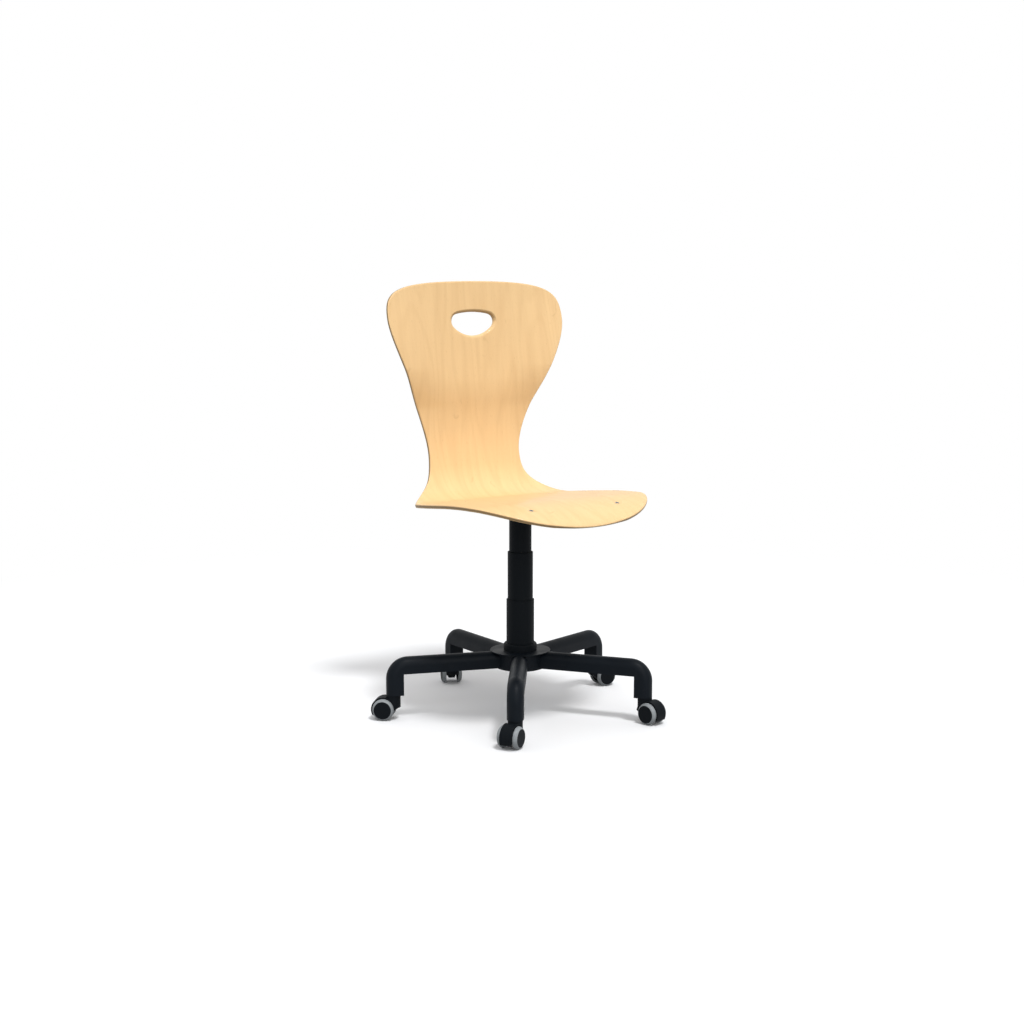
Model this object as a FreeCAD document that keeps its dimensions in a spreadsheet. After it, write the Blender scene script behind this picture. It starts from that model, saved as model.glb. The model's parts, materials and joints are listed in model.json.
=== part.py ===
import FreeCAD, Part
import math
import os
import Sketcher
from FreeCAD import Placement, Rotation, Vector

# Swivel chair with a one-piece moulded plywood shell on a steel five-arm base with twin-wheel castors.
# Millimetres. +Z is up, the sitter faces -Y, and the origin lies on the floor under the column's axis.
# The chair stands as photographed: column fully raised, one arm straight back.

ARMS = 5
FIRST_ARM = 90.0

# Driving dimensions, in millimetres and degrees
SIZES = {
    # Hub of the base
    "hub_radius": 57.0,
    "hub_base_height": 104.8,
    "hub_wall": 4.0,
    "hub_floor": 4.0,
    "sleeve_wall": 4.0,
    "disc_radius": 70.0,
    "disc_thick": 2.0,
    "disc_inlet": 1.5,
    # Arms of round-backed tube, bent down at the elbow
    "crest_height": 145.1,
    "arm_width": 37.4,
    "arm_depth": 37.6,
    "arm_wall": 2.0,
    "leg_reach": 318.9,
    "foot_height": 58.1,
    "elbow_radius": 50.0,
    "plug_height": 30.0,
    "plug_play": 0.1,
    # Castors
    "castor_inset": 16.5,
    "castor_turn": -23.5,
    "castor_trail": 21.3,
    "wheel_radius": 25.0,
    "wheel_outer_face": 24.5,
    "wheel_inner_face": 15.2,
    "cap_radius": 20.2,
    "tread_end": 16.0,
    "shoulder_radius": 10.0,
    "wheel_play": 0.5,
    "rim_wall": 2.0,
    "wheel_boss_radius": 7.0,
    "wheel_cap_thick": 3.5,
    "axle_radius": 3.0,
    "axle_end_wall": 3.0,
    "hood_lift": 3.5,
    "hood_wall": 2.0,
    "web_half_width": 7.0,
    "hood_tail_angle": -28.0,
    "hood_front_angle": 140.0,
    "neck_radius": 16.5,
    "neck_base_height": 29.0,
    "neck_shoulder": 10.0,
    "stem_radius": 5.5,
    "stem_foot_height": 40.0,
    # Column tube, its bush, bearing and the gas spring
    "tube_radius": 22.5,
    "tube_wall": 2.5,
    "tube_floor": 4.0,
    "tube_base_height": 100.0,
    "tube_top_height": 300.0,
    "bush_length": 60.0,
    "bush_flange": 3.0,
    "bearing_radius": 15.0,
    "bearing_thick": 6.0,
    "rod_radius": 5.0,
    "rod_tail": 3.6,
    "rod_shoulder_radius": 8.0,
    "rod_shoulder_length": 6.0,
    "piston_radius": 11.2,
    "piston_length": 8.0,
    "clip_radius": 9.0,
    "clip_thick": 1.5,
    "clip_groove": 1.2,
    "cylinder_radius": 14.0,
    "cylinder_wall": 2.5,
    "cylinder_floor": 12.0,
    "cylinder_foot_height": 238.0,
    "chamber_drop": 22.0,
    "cone_drop": 37.0,
    "cone_top_radius": 12.9,
    "cylinder_rise": 4.0,
    "valve_radius": 4.0,
    "valve_length": 26.0,
    # Telescopic covers
    "cover_wall": 1.5,
    "lower_cover_radius": 32.2,
    "middle_cover_radius": 29.35,
    "upper_cover_radius": 25.85,
    "lower_cover_top": 265.1,
    "middle_cover_top": 376.5,
    "cover_overlap": 14.0,
    "cover_lip": 4.0,
    "collar_radius": 38.5,
    "collar_height": 16.9,
    "collar_round": 4.0,
    # Mechanism under the seat
    "housing_height": 462.0,
    "housing_steel": 3.0,
    "housing_length": 70.0,
    "housing_width": 60.0,
    "socket_radius": 24.0,
    "bar_width": 30.0,
    "bar_thick": 5.0,
    "bar_overhang": 20.0,
    "bridge_thick": 3.0,
    "bridge_depth": 90.0,
    # Height lever
    "pivot_offset": 20.0,
    "pivot_rise": 9.0,
    "pivot_radius": 3.0,
    "pivot_boss_radius": 6.0,
    "lever_thick": 5.0,
    "lever_width": 12.0,
    "lever_tip": 3.0,
    "lever_bend_start": 60.0,
    "lever_bend_end": 118.0,
    "lever_drop": 26.0,
    "lever_reach": 205.0,
    "grip_radius": 9.0,
    "grip_length": 48.0,
    "grip_depth": 38.0,
    "grip_round": 3.0,
    # Clearances
    "running_gap": 0.05,
    "axial_gap": 0.1,
    "slide_gap": 0.3,
    # Plywood shell: thickness and side profile, from the front lip back and up
    "shell_thick": 9.0,
    "lip_reach": 286.6,
    "lip_rise": 8.6,
    "lip_angle": 112.0,
    "nose_radius": 22.0,
    "nose_turn": 38.1,
    "roll_radius": 250.0,
    "roll_turn": 32.0,
    "crown_radius": 1600.0,
    "crown_turn": 4.2,
    "seat_flat": 130.0,
    "bend_radius": 72.5,
    "bend_turn": 60.7,
    "heel_radius": 105.0,
    "heel_turn": 23.2,
    "waist_radius": 389.9,
    "waist_turn": 22.15,
    "lumbar_radius": 231.5,
    "lumbar_turn": 15.14,
    "top_flat": 240.0,
    "hollow_radius": 810.3,
    "hollow_top_radius": 2894.0,
    "hollow_start": 657.8,
    "hollow_full": 760.0,
    "hollow_end": 985.0,
    # Shell outline on the developed sheet: half widths and distances from the lip
    "front_flat": 188.0,
    "front_handle": 25.0,
    "seat_half_width": 236.0,
    "seat_widest_at": 153.0,
    "side_handle": 153.0,
    "corner_half_width": 208.8,
    "corner_at": 419.7,
    "corner_angle": 39.3,
    "corner_handle_front": 27.6,
    "corner_handle_back": 77.7,
    "waist_half_width": 126.7,
    "waist_at": 550.7,
    "waist_handle_down": 74.9,
    "waist_handle_up": 90.1,
    "shoulder_half_width": 242.3,
    "shoulder_at": 870.0,
    "shoulder_handle_down": 78.6,
    "shoulder_handle_up": 63.6,
    "top_handle": 221.6,
    "top_at": 959.0,
    "cut_meeting_depth": 150.0,
    # Hand hold
    "hold_half_width": 69.3,
    "hold_corner_at": 874.7,
    "hold_top_radius": 209.0,
    "hold_bottom_radius": 76.7,
    "hold_corner_radius": 17.6,
    # Seat screws
    "screw_side": 116.1,
    "front_screw_at": 82.0,
    "rear_screw_at": 350.0,
    "screw_radius": 3.0,
    "screw_play": 0.2,
    "screw_head_radius": 4.5,
    "screw_head_depth": 2.5,
    "screw_tail": 1.5,
    "drill_spare": 10.0,
    "screw_key_radius": 2.3,
    "screw_key_depth": 1.5,
    "nut_radius": 5.8,
    "nut_thick": 5.0,
}

doc = FreeCAD.newDocument("SwivelChair")
sheet = doc.addObject("Spreadsheet::Sheet", "Dims")
for row, (alias, value) in enumerate(SIZES.items(), 1):
    sheet.set("A%d" % row, alias)
    sheet.set("B%d" % row, str(value))
    sheet.setAlias("B%d" % row, alias)
doc.recompute()


# A size is a number together with the sheet formula that gives it
class Size:
    def __init__(self, value, text):
        self.value = float(value)
        self.text = text

    def __add__(self, other):
        other = size(other)
        return Size(self.value + other.value, "(%s + %s)" % (self.text, other.text))

    def __sub__(self, other):
        other = size(other)
        return Size(self.value - other.value, "(%s - %s)" % (self.text, other.text))

    def __mul__(self, other):
        other = size(other)
        return Size(self.value * other.value, "(%s * %s)" % (self.text, other.text))

    def __truediv__(self, other):
        other = size(other)
        return Size(self.value / other.value, "(%s / %s)" % (self.text, other.text))

    def __neg__(self):
        return Size(-self.value, "(0 - %s)" % self.text)

    __radd__ = __add__
    __rmul__ = __mul__


def size(item):
    if isinstance(item, Size):
        return item
    if isinstance(item, str):
        return Size(SIZES[item], "Dims.%s" % item)
    return Size(item, "%.6f" % item)


def mm(alias):
    return float(SIZES[alias])


# Sketching helpers
def new_body(label):
    body = doc.addObject("PartDesign::Body", label)
    body.Label = label
    return body


def origin_plane(body, role):
    for feature in body.Origin.OriginFeatures:
        if feature.Role == role:
            return feature
    raise ValueError(role)


def new_sketch(body, role, offset=None):
    sketch = body.newObject("Sketcher::SketchObject", body.Label + "_sketch")
    sketch.AttachmentSupport = [(origin_plane(body, role), "")]
    sketch.MapMode = "FlatFace"
    if offset is not None:
        offset = size(offset)
        sketch.AttachmentOffset = Placement(Vector(0, 0, offset.value), Rotation())
        sketch.setExpression("AttachmentOffset.Base.z", offset.text)
    return sketch


def fix_distance(sketch, kind, geometry, point, item):
    axis = -2 if kind == "DistanceX" else -1
    if item.value == 0.0:
        sketch.addConstraint(Sketcher.Constraint("PointOnObject", geometry, point, axis))
    elif item.value > 0:
        index = sketch.addConstraint(Sketcher.Constraint(kind, -1, 1, geometry, point, item.value))
        sketch.setExpression("Constraints[%d]" % index, item.text)
    else:
        index = sketch.addConstraint(Sketcher.Constraint(kind, geometry, point, -1, 1, -item.value))
        sketch.setExpression("Constraints[%d]" % index, (-item).text)


# Closed outline of straight edges and arcs; a corner may carry the radius and side of the arc that leaves it
def draw_outline(sketch, corners):
    points = [(size(c[0]), size(c[1])) for c in corners]
    ends = []
    for i, corner in enumerate(corners):
        a, b = points[i], points[(i + 1) % len(points)]
        start, end = Vector(a[0].value, a[1].value, 0), Vector(b[0].value, b[1].value, 0)
        if len(corner) == 2:
            sketch.addGeometry(Part.LineSegment(start, end), False)
            ends.append((1, 2))
            continue
        radius, side = size(corner[2]), corner[3]
        chord = end - start
        across = Vector(-chord.y, chord.x, 0).normalize() * side
        rise = math.sqrt(max(radius.value ** 2 - chord.Length ** 2 / 4, 0.0))
        centre = (start + end) * 0.5 + across * rise
        middle = centre - across * radius.value
        arc = Part.Arc(start, middle, end) if side > 0 else Part.Arc(end, middle, start)
        index = sketch.addGeometry(arc, False)
        ends.append((1, 2) if side > 0 else (2, 1))
        held = sketch.addConstraint(Sketcher.Constraint("Radius", index, radius.value))
        sketch.setExpression("Constraints[%d]" % held, radius.text)
    count = len(corners)
    for i in range(count):
        following = (i + 1) % count
        sketch.addConstraint(Sketcher.Constraint("Coincident", i, ends[i][1], following, ends[following][0]))
    for i in range(count):
        fix_distance(sketch, "DistanceX", i, ends[i][0], points[i][0])
        fix_distance(sketch, "DistanceY", i, ends[i][0], points[i][1])


def draw_circle(sketch, x, y, radius):
    x, y, radius = size(x), size(y), size(radius)
    index = sketch.addGeometry(Part.Circle(Vector(x.value, y.value, 0), Vector(0, 0, 1), radius.value), False)
    fix_distance(sketch, "DistanceX", index, 3, x)
    fix_distance(sketch, "DistanceY", index, 3, y)
    held = sketch.addConstraint(Sketcher.Constraint("Radius", index, radius.value))
    sketch.setExpression("Constraints[%d]" % held, radius.text)


# Solid features
def pad(body, sketch, length, symmetric=False, reverse=False):
    feature = body.newObject("PartDesign::Pad", body.Label + "_pad")
    feature.Profile = sketch
    length = size(length)
    feature.Length = length.value
    feature.setExpression("Length", length.text)
    if symmetric:
        feature.SideType = "Symmetric"
    feature.Reversed = reverse
    doc.recompute()
    return feature


def pocket(body, sketch, length=None, symmetric=False, reverse=False):
    before = body.Shape.Volume
    feature = body.newObject("PartDesign::Pocket", body.Label + "_pocket")
    feature.Profile = sketch
    if length is None:
        feature.Type = "ThroughAll"
    else:
        length = size(length)
        feature.Length = length.value
        feature.setExpression("Length", length.text)
    if symmetric:
        feature.SideType = "Symmetric"
    feature.Reversed = reverse
    doc.recompute()
    if not body.Shape.Volume < before - 0.01:
        raise ValueError("a pocket in %s cuts nothing" % body.Label)
    return feature


def revolve(body, corners):
    sketch = new_sketch(body, "XZ_Plane")
    draw_outline(sketch, corners)
    feature = body.newObject("PartDesign::Revolution", body.Label + "_turned")
    feature.Profile = sketch
    feature.ReferenceAxis = (sketch, ["V_Axis"])
    feature.Angle = 360.0
    doc.recompute()
    return feature


def fillet(body, radius, wanted):
    base = body.Tip
    names = []
    for number, edge in enumerate(base.Shape.Edges, 1):
        middle = edge.valueAt((edge.FirstParameter + edge.LastParameter) / 2)
        if wanted(edge, middle):
            names.append("Edge%d" % number)
    feature = body.newObject("PartDesign::Fillet", body.Label + "_round")
    feature.Base = (base, names)
    radius = size(radius)
    feature.Radius = radius.value
    feature.setExpression("Radius", radius.text)
    doc.recompute()
    return feature


def group(label, pieces):
    compound = doc.addObject("Part::Compound", label)
    compound.Label = label
    compound.Links = pieces
    return compound


def turned_piece(label, corners):
    body = new_body(label)
    revolve(body, corners)
    return body


def arm_angle(number):
    return FIRST_ARM + number * 360.0 / ARMS


def castor_place(number):
    angle = math.radians(arm_angle(number))
    reach = castor_reach.value
    spot = Vector(reach * math.cos(angle), reach * math.sin(angle), 0)
    return Placement(spot, Rotation(Vector(0, 0, 1), arm_angle(number) + mm("castor_turn")))


nodes = []

# Heights that several pieces share
disc_base = size("crest_height") - "disc_inlet"
disc_top = disc_base + "disc_thick"
tube_floor_top = size("tube_base_height") + "tube_floor"
bearing_top = tube_floor_top + "bearing_thick"
housing_floor_top = size("housing_height") + "housing_steel"
chamber_top = size("housing_height") - "chamber_drop"
cone_start = size("housing_height") - "cone_drop"
lip_height = size("housing_height") + "lip_rise"
castor_reach = size("leg_reach") - "castor_inset"
cylinder_top = housing_floor_top + "cylinder_rise" - "housing_steel"
pivot_height = housing_floor_top + "pivot_rise"
bush_bore = size("cylinder_radius") + "running_gap"
tube_bore = size("tube_radius") - "tube_wall"

# Hub ring with floor and inner sleeve, and the disc that closes it
sleeve_outer = size("tube_radius") + "sleeve_wall"
ring_inner = size("hub_radius") - "hub_wall"
hub_floor_top = size("hub_base_height") + "hub_floor"
nodes.append(turned_piece("hub_ring", [
    ("tube_radius", "hub_base_height"), ("hub_radius", "hub_base_height"), ("hub_radius", disc_base),
    (ring_inner, disc_base), (ring_inner, hub_floor_top), (sleeve_outer, hub_floor_top),
    (sleeve_outer, disc_base), ("tube_radius", disc_base)]))
nodes.append(turned_piece("hub_disc", [
    ("tube_radius", disc_base), ("disc_radius", disc_base), ("disc_radius", disc_top), ("tube_radius", disc_top)]))


# Arms: hollow tube with a rounded back, flat underside, one bend at the elbow
def elbow_outline(shell_in, past_ends):
    inner_x = size("leg_reach") - "arm_depth" + shell_in
    inner_z = size("crest_height") - "arm_depth" + shell_in
    outer_x = size("leg_reach") - shell_in
    outer_z = size("crest_height") - shell_in
    start_x = size("hub_radius") * 0.75 - past_ends
    foot_z = size("foot_height") - past_ends
    radius = size("elbow_radius") - shell_in
    bend_x = size("leg_reach") - "elbow_radius"
    bend_z = size("crest_height") - "elbow_radius"
    return [(start_x, outer_z), (bend_x, outer_z, radius, -1), (outer_x, bend_z), (outer_x, foot_z),
            (inner_x, foot_z), (inner_x, inner_z), (start_x, inner_z)]


def on_round_side(half_width, shell_in):
    reach, crest, bend = mm("leg_reach"), mm("crest_height"), mm("elbow_radius")

    def wanted(edge, middle):
        if abs(abs(middle.y) - half_width) > 0.01 or edge.Length < 12:
            return False
        from_bend = math.hypot(middle.x - reach + bend, middle.z - crest + bend)
        on_top = abs(middle.z - crest + shell_in) < 0.01 and middle.x < reach - bend
        on_back = abs(middle.x - reach + shell_in) < 0.01 and middle.z < crest - bend
        return on_top or on_back or abs(from_bend - bend + shell_in) < 0.01
    return wanted


def make_elbow(label, half, shell_in, past_ends):
    body = new_body(label)
    sketch = new_sketch(body, "XZ_Plane")
    draw_outline(sketch, elbow_outline(size(shell_in), size(past_ends)))
    pad(body, sketch, half * 2, symmetric=True)
    fillet(body, half - 0.1, on_round_side(half.value, size(shell_in).value))
    return body


def make_arm(number):
    label = "arm_%d" % (number + 1)
    half = size("arm_width") / 2
    outside = make_elbow(label + "_outside", half, 0.0, 0.0)
    sketch = new_sketch(outside, "XY_Plane")
    draw_circle(sketch, 0.0, 0.0, "hub_radius")
    pocket(outside, sketch, size("crest_height") * 4, symmetric=True)
    sketch = new_sketch(outside, "XY_Plane", disc_base)
    draw_circle(sketch, 0.0, 0.0, size("disc_radius") + "axial_gap")
    pocket(outside, sketch, "arm_depth", reverse=True)
    arm = doc.addObject("Part::Cut", label)
    arm.Base, arm.Tool = outside, make_elbow(label + "_inside", half - "arm_wall", "arm_wall", 1.0)
    arm.Placement = Placement(Vector(), Rotation(Vector(0, 0, 1), arm_angle(number)))
    return arm


for number in range(ARMS):
    nodes.append(make_arm(number))


# Plugs in the feet of the arms, bored for the castor stems
def make_plug(number):
    body = new_body("plug_%d" % (number + 1))
    flat_x = size("leg_reach") - "arm_depth" + "arm_wall" + "plug_play"
    back_x = size("leg_reach") - "arm_wall" - "plug_play"
    half = size("arm_width") / 2 - "arm_wall" - "plug_play"
    sketch = new_sketch(body, "XY_Plane", "foot_height")
    draw_outline(sketch, [(flat_x, -half), (back_x, -half), (back_x, half), (flat_x, half)])
    draw_circle(sketch, castor_reach, 0.0, "stem_radius")
    pad(body, sketch, "plug_height")
    fillet(body, half - 0.1, lambda edge, middle: abs(middle.x - back_x.value) < 0.01
           and abs(abs(middle.y) - half.value) < 0.01)
    body.Placement = Placement(Vector(), Rotation(Vector(0, 0, 1), arm_angle(number)))
    return body


nodes.append(group("leg_plugs", [make_plug(number) for number in range(ARMS)]))


def make_stem(number):
    body = turned_piece("stem_%d" % (number + 1), [
        (0.0, "stem_foot_height"), ("stem_radius", "stem_foot_height"),
        ("stem_radius", size("foot_height") + "plug_height"), (0.0, size("foot_height") + "plug_height")])
    body.Placement = castor_place(number)
    return body


nodes.append(group("castor_stems", [make_stem(number) for number in range(ARMS)]))

# Castor housing: neck round the stem, and between the narrow wheels a hood with a web and a boss for the axle
hood_radius = size("wheel_radius") + "hood_lift"
hood_inner = hood_radius - "hood_wall"
hood_half = size("wheel_inner_face") - "wheel_play"
web_half = size("web_half_width")
neck_top = size("foot_height") - "slide_gap"
wheel_bore = size("axle_radius") + "running_gap"
axle_half = size("wheel_outer_face") - "axle_end_wall" - "wheel_play"


def rim_point(angle):
    turn = math.radians(mm(angle))
    return (size("castor_trail") + hood_radius * math.cos(turn), size("wheel_radius") + hood_radius * math.sin(turn))


def make_housing(number):
    body = new_body("castor_%d_housing" % (number + 1))
    sketch = new_sketch(body, "XZ_Plane")
    tail, front = rim_point("hood_tail_angle"), rim_point("hood_front_angle")
    crown = (size("castor_trail"), size("wheel_radius") + hood_radius)
    draw_outline(sketch, [
        (tail[0], tail[1], hood_radius, 1), (crown[0], crown[1], hood_radius, 1), (front[0], front[1]),
        (-size("neck_radius") * 0.5, size("neck_base_height") + "neck_shoulder"),
        (-size("neck_radius") * 0.75, "neck_base_height"),
        (size("castor_trail") * 0.35, size("wheel_radius") * 0.55),
        (size("castor_trail") * 1.1, size("wheel_radius") * 0.45)])
    pad(body, sketch, hood_half * 2, symmetric=True)
    sketch = new_sketch(body, "XY_Plane", "neck_base_height")
    draw_circle(sketch, 0.0, 0.0, "neck_radius")
    pad(body, sketch, neck_top - "neck_base_height")
    for side in (1, -1):
        sketch = new_sketch(body, "XZ_Plane", web_half * side)
        draw_circle(sketch, "castor_trail", "wheel_radius", hood_inner)
        pocket(body, sketch, size("neck_radius") * 2, reverse=side > 0)
    sketch = new_sketch(body, "XY_Plane", size("stem_foot_height") - "slide_gap")
    draw_circle(sketch, 0.0, 0.0, size("stem_radius") + "running_gap")
    pocket(body, sketch, size("foot_height"), reverse=True)
    sketch = new_sketch(body, "XZ_Plane")
    draw_circle(sketch, "castor_trail", "wheel_radius", "wheel_boss_radius")
    pad(body, sketch, hood_half * 2, symmetric=True)
    sketch = new_sketch(body, "XZ_Plane")
    draw_circle(sketch, "castor_trail", "wheel_radius", "axle_radius")
    pocket(body, sketch, hood_half * 4, symmetric=True)
    body.Placement = castor_place(number)
    return body


# Wheel: plastic disc with hub and rim, and a soft grey tread ring with a rounded outer shoulder
def wheel_place(number, side):
    centre = Placement(Vector(mm("castor_trail"), 0, mm("wheel_radius")), Rotation(Vector(1, 0, 0), -90.0 * side))
    return castor_place(number).multiply(centre)


def make_wheel(number, side, name):
    rim_inner = size("cap_radius") - "rim_wall"
    web_face = size("wheel_outer_face") - "wheel_cap_thick"
    bore_end = size("wheel_outer_face") - "axle_end_wall"
    body = turned_piece("castor_%d_wheel_%s" % (number + 1, name), [
        (0.0, bore_end), (wheel_bore, bore_end), (wheel_bore, "wheel_inner_face"),
        ("wheel_boss_radius", "wheel_inner_face"), ("wheel_boss_radius", web_face), (rim_inner, web_face),
        (rim_inner, "wheel_inner_face"), ("cap_radius", "wheel_inner_face"), ("cap_radius", "wheel_outer_face"),
        (0.0, "wheel_outer_face")])
    body.Placement = wheel_place(number, side)
    return body


def make_tyre(number, side, name):
    body = turned_piece("castor_%d_tyre_%s" % (number + 1, name), [
        ("cap_radius", "wheel_inner_face"), ("wheel_radius", "wheel_inner_face"),
        ("wheel_radius", "tread_end", "shoulder_radius", 1), ("cap_radius", "wheel_outer_face")])
    body.Placement = wheel_place(number, side)
    return body


def make_axle(number):
    body = new_body("castor_%d_axle" % (number + 1))
    sketch = new_sketch(body, "XZ_Plane")
    draw_circle(sketch, "castor_trail", "wheel_radius", "axle_radius")
    pad(body, sketch, axle_half * 2, symmetric=True)
    body.Placement = castor_place(number)
    return body


for number in range(ARMS):
    nodes.append(make_housing(number))
    nodes.append(make_axle(number))
    for side, name in ((1, "left"), (-1, "right")):
        nodes.append(make_wheel(number, side, name))
        nodes.append(make_tyre(number, side, name))

# Column tube with its floor, guide bush and thrust bearing
rod_hole = size("rod_radius") + "slide_gap"
nodes.append(turned_piece("column_tube", [
    (rod_hole, "tube_base_height"), ("tube_radius", "tube_base_height"), ("tube_radius", "tube_top_height"),
    (tube_bore, "tube_top_height"), (tube_bore, tube_floor_top), (rod_hole, tube_floor_top)]))
bush_base = size("tube_top_height") - "bush_length"
bush_top = size("tube_top_height") + "bush_flange"
nodes.append(turned_piece("guide_bush", [
    (bush_bore, bush_base), (tube_bore, bush_base), (tube_bore, "tube_top_height"),
    ("tube_radius", "tube_top_height"), ("tube_radius", bush_top), (bush_bore, bush_top)]))
bearing_bore = size("rod_radius") + "running_gap"
nodes.append(turned_piece("thrust_bearing", [
    (bearing_bore, tube_floor_top), ("bearing_radius", tube_floor_top), ("bearing_radius", bearing_top),
    (bearing_bore, bearing_top)]))

# Piston rod, held under the tube's floor by a clip
clip_top = size("tube_base_height") - "axial_gap"
clip_base = clip_top - "clip_thick"
rod_tail_end = clip_base - "rod_tail"
groove_radius = size("rod_radius") - "clip_groove"
shoulder_base = bearing_top + "axial_gap"
shoulder_top = shoulder_base + "rod_shoulder_length"
piston_base = size("cylinder_foot_height") + "cylinder_floor" + "slide_gap"
piston_top = piston_base + "piston_length"
nodes.append(turned_piece("piston_rod", [
    (0.0, rod_tail_end), ("rod_radius", rod_tail_end), ("rod_radius", clip_base), (groove_radius, clip_base),
    (groove_radius, clip_top), ("rod_radius", clip_top), ("rod_radius", shoulder_base),
    ("rod_shoulder_radius", shoulder_base), ("rod_shoulder_radius", shoulder_top), ("rod_radius", shoulder_top),
    ("rod_radius", piston_base), ("piston_radius", piston_base), ("piston_radius", piston_top),
    (0.0, piston_top)]))
nodes.append(turned_piece("rod_clip", [
    (groove_radius, clip_base), ("clip_radius", clip_base), ("clip_radius", clip_top), (groove_radius, clip_top)]))

# Gas spring cylinder with its cone, valve button and the taper socket that takes the cone
chamber_radius = size("cylinder_radius") - "cylinder_wall"
chamber_base = size("cylinder_foot_height") + "cylinder_floor"
valve_bore = size("valve_radius") + "running_gap"
nodes.append(turned_piece("gas_cylinder", [
    (bearing_bore, "cylinder_foot_height"), ("cylinder_radius", "cylinder_foot_height"),
    ("cylinder_radius", cone_start), ("cone_top_radius", cylinder_top), (valve_bore, cylinder_top),
    (valve_bore, chamber_top), (chamber_radius, chamber_top), (chamber_radius, chamber_base),
    (bearing_bore, chamber_base)]))
valve_top = pivot_height - size("lever_thick") / 2 - "slide_gap"
nodes.append(turned_piece("valve_button", [
    (0.0, valve_top - "valve_length"), ("valve_radius", valve_top - "valve_length"),
    ("valve_radius", valve_top), (0.0, valve_top)]))
cone_share = (size("housing_height") - cone_start) / (cylinder_top - cone_start)
socket_top_bore = size("cylinder_radius") - (size("cylinder_radius") - "cone_top_radius") * cone_share
nodes.append(turned_piece("taper_socket", [
    ("cylinder_radius", cone_start), ("socket_radius", cone_start),
    ("socket_radius", "housing_height"), (socket_top_bore, "housing_height")]))

# Telescopic covers and the collar at their foot
lower_inner = size("lower_cover_radius") - "cover_wall"
middle_inner = size("middle_cover_radius") - "cover_wall"
upper_inner = size("upper_cover_radius") - "cover_wall"
middle_base = size("lower_cover_top") - "cover_overlap"
upper_base = size("middle_cover_top") - "cover_overlap"
upper_top = size("housing_height") - "axial_gap"
lower_lip = size("middle_cover_radius") + "slide_gap"
middle_lip = size("upper_cover_radius") + "slide_gap"
middle_flange = lower_inner - "slide_gap"
upper_flange = middle_inner - "slide_gap"
nodes.append(turned_piece("cover_lower", [
    (lower_inner, disc_top), ("lower_cover_radius", disc_top), ("lower_cover_radius", "lower_cover_top"),
    (lower_lip, "lower_cover_top"), (lower_lip, size("lower_cover_top") - "cover_lip"),
    (lower_inner, size("lower_cover_top") - "cover_lip")]))
nodes.append(turned_piece("cover_middle", [
    (middle_inner, middle_base), (middle_flange, middle_base), (middle_flange, middle_base + "cover_lip"),
    ("middle_cover_radius", middle_base + "cover_lip"), ("middle_cover_radius", "middle_cover_top"),
    (middle_lip, "middle_cover_top"), (middle_lip, size("middle_cover_top") - "cover_lip"),
    (middle_inner, size("middle_cover_top") - "cover_lip")]))
nodes.append(turned_piece("cover_upper", [
    (upper_inner, upper_base), (upper_flange, upper_base), (upper_flange, upper_base + "cover_lip"),
    ("upper_cover_radius", upper_base + "cover_lip"), ("upper_cover_radius", upper_top),
    (upper_inner, upper_top)]))
collar = turned_piece("cover_collar", [
    ("lower_cover_radius", disc_top), ("collar_radius", disc_top),
    ("collar_radius", disc_top + "collar_height"), ("lower_cover_radius", disc_top + "collar_height")])
collar_top = disc_top + "collar_height"
fillet(collar, "collar_round", lambda edge, middle: abs(middle.z - collar_top.value) < 0.01
       and math.hypot(edge.Vertexes[0].X, edge.Vertexes[0].Y) > mm("collar_radius") - 0.01)
nodes.append(collar)


# Side profile of the shell's upper face: tangent arcs and straights, walked from the front lip
def profile_runs():
    heading = math.radians(mm("lip_angle"))
    y, z, at = -mm("lip_reach"), lip_height.value, 0.0
    steps = [("nose", 1), ("roll", 1), ("crown", 1), ("seat_flat", 0), ("bend", -1), ("heel", -1),
             ("waist", -1), ("lumbar", 1), ("top_flat", 0)]
    runs = []
    for name, sign in steps:
        if sign == 0:
            length, curve = mm(name), 0.0
        else:
            radius = mm(name + "_radius")
            length, curve = radius * math.radians(mm(name + "_turn")), sign / radius
        runs.append((at, length, y, z, heading, curve))
        y, z, heading = walk(y, z, heading, curve, length)
        at += length
    return runs


def walk(y, z, heading, curve, length):
    if curve == 0.0:
        return y - length * math.cos(heading), z + length * math.sin(heading), heading
    turned = heading + curve * length
    return (y - (math.sin(turned) - math.sin(heading)) / curve,
            z - (math.cos(turned) - math.cos(heading)) / curve, turned)


RUNS = profile_runs()


# Point and unit normal, towards the sitter, at a distance from the lip and a depth below the upper face
def profile_at(at, depth=0.0):
    for start, length, y, z, heading, curve in RUNS:
        if at <= start + length or (start, length) == RUNS[-1][:2]:
            y, z, heading = walk(y, z, heading, curve, at - start)
            break
    normal = (-math.sin(heading), -math.cos(heading))
    return y - normal[0] * depth, z - normal[1] * depth, normal, heading


def eased(at, start, end):
    share = min(max((at - mm(start)) / (mm(end) - mm(start)), 0.0), 1.0)
    return share * share * (3 - 2 * share)


# The back is dished across its width: deepest just above the lumbar curve, then flatter towards the top
def hollow(at, x):
    deepest, top = 1 / mm("hollow_radius"), 1 / mm("hollow_top_radius")
    curve = eased(at, "hollow_start", "hollow_full") * (
        deepest + (top - deepest) * eased(at, "hollow_full", "hollow_end"))
    return curve * x * x / 2


def shell_point(x, at, depth):
    return profile_at(at, depth - hollow(at, x))[:2]


# How far the blank and the cut round its edge reach past the finished sheet
SPARE = 6.0
STATION_GAP = 12.0

stations = [-SPARE]
for start, length, y, z, heading, curve in RUNS:
    pieces = max(2, round(length / STATION_GAP))
    stations += [start + length * i / pieces for i in range(pieces + 1)][1 if start > 0 else 0:]
blank_half = max(mm("seat_half_width"), mm("shoulder_half_width")) + SPARE


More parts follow.
